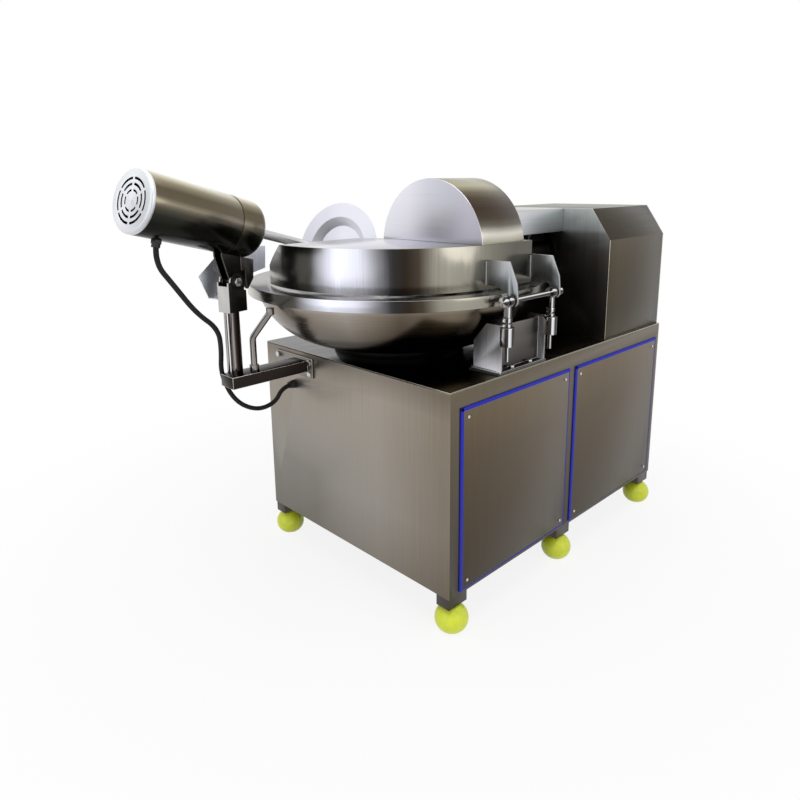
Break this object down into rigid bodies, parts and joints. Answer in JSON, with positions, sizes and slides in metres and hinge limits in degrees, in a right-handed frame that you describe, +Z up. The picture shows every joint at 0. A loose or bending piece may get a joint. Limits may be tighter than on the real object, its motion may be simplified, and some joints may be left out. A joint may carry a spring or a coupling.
{
  "type": "meat bowl cutter",
  "caption": "Bowl cutter for meat: turning ring bowl, sickle knives under a hinged lid, belt drive housing, swing-down unloading disc on a motor arm",
  "frame": {"origin": "middle of the outer box's footprint, on the floor under the feet", "axes": "+Z up, +X towards the service panels and the lid hinge, -Y towards the unloading arm, +Y towards the belt housing"},
  "size_m": [1.122, 1.9388, 1.4217],
  "materials": {
    "frame_steel": "brushed warm grey stainless",
    "deck_steel": "brushed light stainless",
    "panel_steel": "brushed warm grey stainless",
    "cast_steel": "satin stainless",
    "seal_blue": "blue seal",
    "foot_green": "yellow green",
    "bright_steel": "polished",
    "dark_iron": "dark",
    "motor_paint": "blue grey paint",
    "belt_rubber": "black",
    "gasket_rubber": "black",
    "black_plastic": "black",
    "cable_black": "black",
    "bracket_steel": "brushed cool grey",
    "knife_steel": "ground",
    "tube_steel": "polished tube"
  },
  "bodies": {
    "root": {"cabinet_frame": "frame_steel", "top_plate": "deck_steel", "front_panel": "panel_steel", "left_panel": "panel_steel", "rear_panel": "panel_steel", "right_side_frame": "frame_steel", "service_panel_front": "panel_steel", "service_panel_rear": "panel_steel", "panel_seals": "seal_blue", "panel_screws": "bright_steel", "levelling_feet": "foot_green", "bowl_pedestal": "dark_iron", "bowl_bearings": "bright_steel", "bowl_gearmotor": "motor_paint", "motor_base": "dark_iron", "blade_motor": "motor_paint", "drive_belts": "belt_rubber", "spindle_housing": "cast_steel", "spindle_bearings": "bright_steel", "belt_housing": "deck_steel", "belt_housing_cover": "deck_steel", "cover_knobs": "black_plastic", "bridge_cover": "deck_steel", "lid_sensors": "black_plastic", "hinge_eyes": "bright_steel", "eye_nuts": "bright_steel", "hinge_bracket": "bracket_steel", "bracket_gasket": "gasket_rubber", "mounting_bolts": "bright_steel", "arm_bar": "bracket_steel", "arm_post": "bracket_steel", "pivot_bolt": "bright_steel", "rim_steady": "bright_steel", "cabinet_cable_gland": "black_plastic", "cable_upper": "cable_black", "cable_lower": "cable_black"},
    "bowl": {"bowl": "cast_steel", "bowl_skirt": "cast_steel", "bowl_shaft": "bright_steel"},
    "knives": {"knife_shaft": "bright_steel", "knife_pair_front": "knife_steel", "knife_pair_middle": "knife_steel", "knife_pair_rear": "knife_steel", "knife_nut": "bright_steel", "spindle_pulley": "dark_iron"},
    "motor_rotor": {"motor_pulley": "dark_iron"},
    "lid": {"lid_shell": "deck_steel", "knife_dome": "deck_steel", "hinge_plate_front": "bracket_steel", "hinge_plate_rear": "bracket_steel", "hinge_pin": "bright_steel"},
    "arm": {"unloader_fork": "bracket_steel", "motor_tube": "tube_steel", "vent_cap": "cast_steel", "gearbox_collar": "cast_steel", "unloader_motor": "motor_paint", "discharge_chute": "cast_steel", "motor_cable_gland": "black_plastic"},
    "disc": {"unloader_shaft": "bright_steel", "unloader_disc": "cast_steel"}
  },
  "joints": [
    {"name": "bowl_spin", "type": "hinge", "parent": "root", "child": "bowl", "pos_m": [-0.026, -0.03255, 0.85], "axis": [0, 0, 1], "continuous": true},
    {"name": "knife_spin", "type": "hinge", "parent": "root", "child": "knives", "pos_m": [0.214, -0.03255, 1.1], "axis": [0, 1, 0], "continuous": true},
    {"name": "motor_spin", "type": "hinge", "parent": "root", "child": "motor_rotor", "pos_m": [0.214, 0.68845, 0.35], "axis": [0, 1, 0], "continuous": true},
    {"name": "lid_hinge", "type": "hinge", "parent": "root", "child": "lid", "pos_m": [0.539, -0.00155, 1.024], "axis": [0, 1, 0], "range_deg": [0, 80]},
    {"name": "arm_tilt", "type": "hinge", "parent": "root", "child": "arm", "pos_m": [-0.184, -0.61955, 1.07], "axis": [0.9833, 0.1822, 0], "range_deg": [0, 35], "deforming": ["cable_upper"]},
    {"name": "disc_spin", "type": "hinge", "parent": "arm", "child": "disc", "pos_m": [-0.184, -0.60455, 1.245], "axis": [-0.1764, 0.9519, -0.2504], "continuous": true}
  ],
  "couplings": [
    {"joint": "motor_spin", "follows": "knife_spin", "ratio": 0.56}
  ]
}
